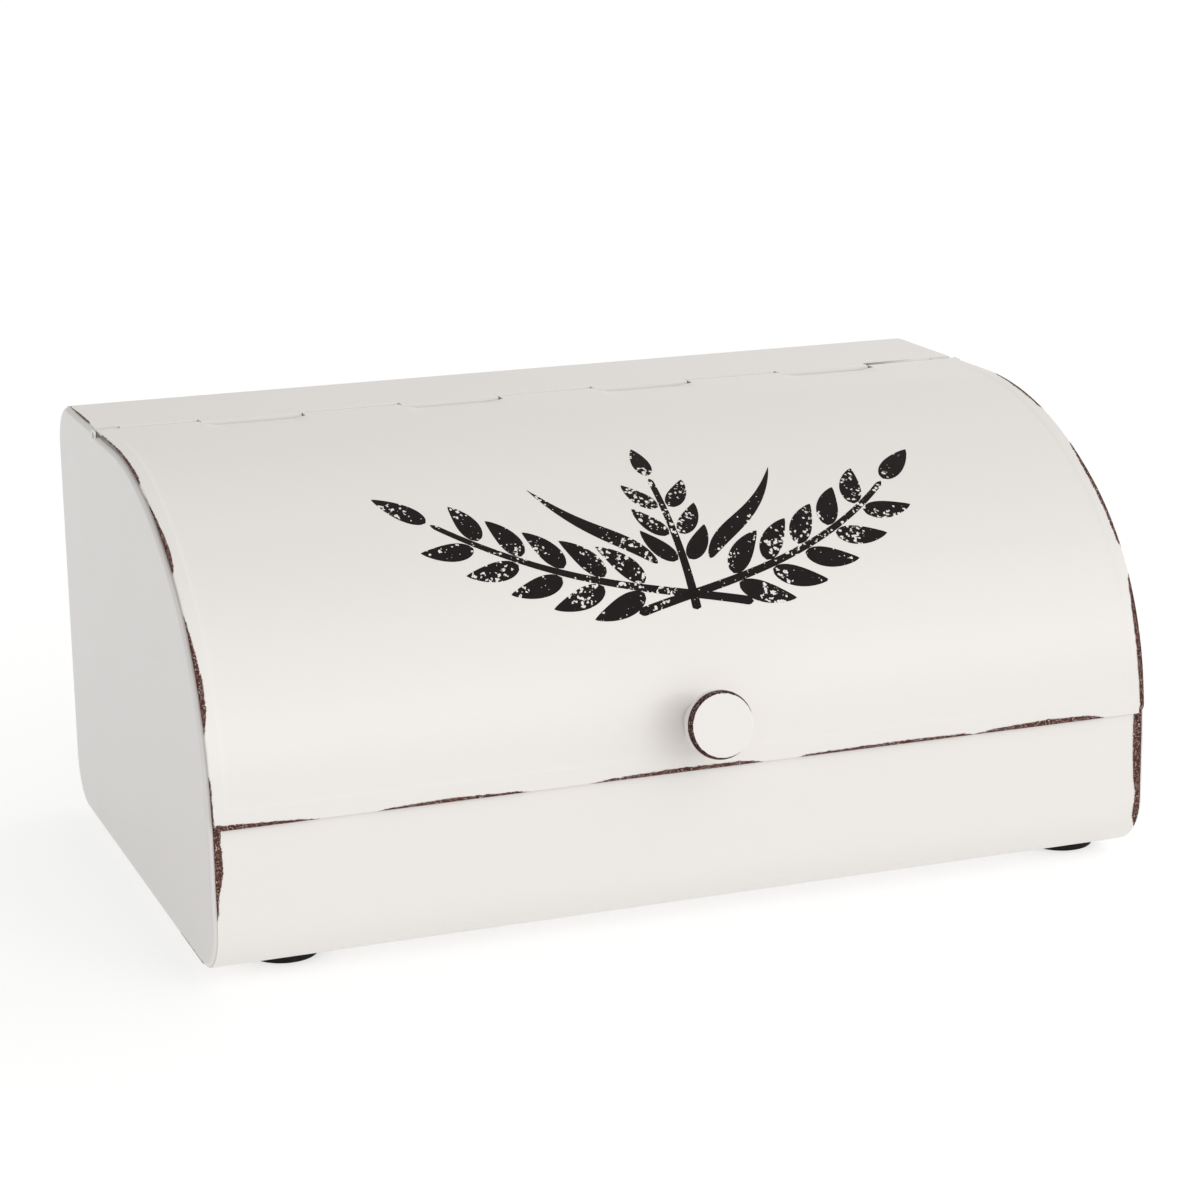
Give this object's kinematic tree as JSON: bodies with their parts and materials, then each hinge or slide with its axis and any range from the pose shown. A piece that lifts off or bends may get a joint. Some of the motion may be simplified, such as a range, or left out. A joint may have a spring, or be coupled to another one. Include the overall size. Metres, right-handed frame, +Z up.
{
  "type": "bread box",
  "caption": "Sheet-metal bread box with rounded rear edges, a curved front lid on a full-width rolled hinge, a round knob and rubber feet.",
  "frame": {"origin": "middle of the object's footprint, knob included, on the surface that the feet stand on", "axes": "+Z up, +X to the box's own left-to-right width as seen from the front, -Y towards the front where the lid and knob are"},
  "size_m": [0.424, 0.2934, 0.198],
  "materials": {
    "painted_body": "semi-gloss warm white enamel, worn to brown along the sheet edges",
    "painted_lid": "semi-gloss warm white enamel with a black distressed wheat print, worn to brown along the edges",
    "painted_knob": "satin warm white paint, rim worn to dark brown",
    "steel": "zinc-plated, fine brushed",
    "rubber_foot": "matt black rubber"
  },
  "bodies": {
    "box": {"body_wrap": "painted_body", "left_end_panel": "painted_body", "right_end_panel": "painted_body", "hinge_pin": "steel", "foot_front_left": "rubber_foot", "foot_front_right": "rubber_foot", "foot_rear_left": "rubber_foot", "foot_rear_right": "rubber_foot", "foot_screws": "steel", "foot_washers": "steel", "foot_nuts": "steel"},
    "lid": {"lid": "painted_lid", "knob": "painted_knob", "knob_screw": "steel", "knob_washer": "steel"}
  },
  "joints": [
    {"name": "lid_hinge", "type": "hinge", "parent": "box", "child": "lid", "pos_m": [0, 0.06567, 0.1957], "axis": [-1, 0, 0], "range_deg": [0, 115]}
  ]
}
